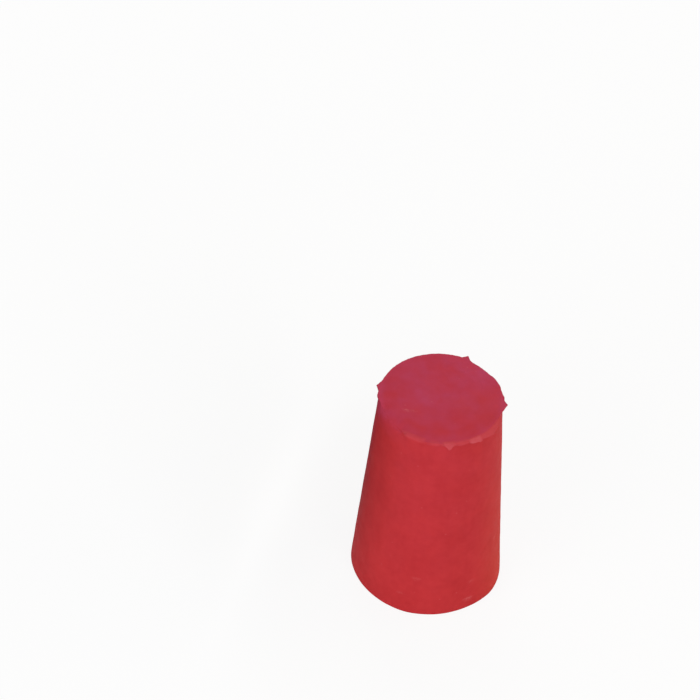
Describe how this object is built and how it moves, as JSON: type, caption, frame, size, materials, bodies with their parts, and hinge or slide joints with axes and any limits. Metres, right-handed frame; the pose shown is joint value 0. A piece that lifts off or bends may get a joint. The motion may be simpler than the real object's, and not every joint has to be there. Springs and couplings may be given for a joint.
{
  "type": "rubber stopper",
  "caption": "Solid tapered rubber stopper for a laboratory tube or bottle neck, standing on its wide face, with torn moulding flash around its narrow rim.",
  "frame": {"origin": "centre of the wide end face, on the surface that the stopper stands on", "axes": "+Z along the stopper's axis from the wide end to the narrow end; +Y away from the side with the hanging flaps of flash"},
  "size_m": [0.016, 0.016, 0.025],
  "materials": {
    "red_rubber": "matt moulded red rubber, faintly mottled, paler on the torn flash"
  },
  "bodies": {
    "root": {"stopper": "red_rubber"}
  },
  "joints": []
}
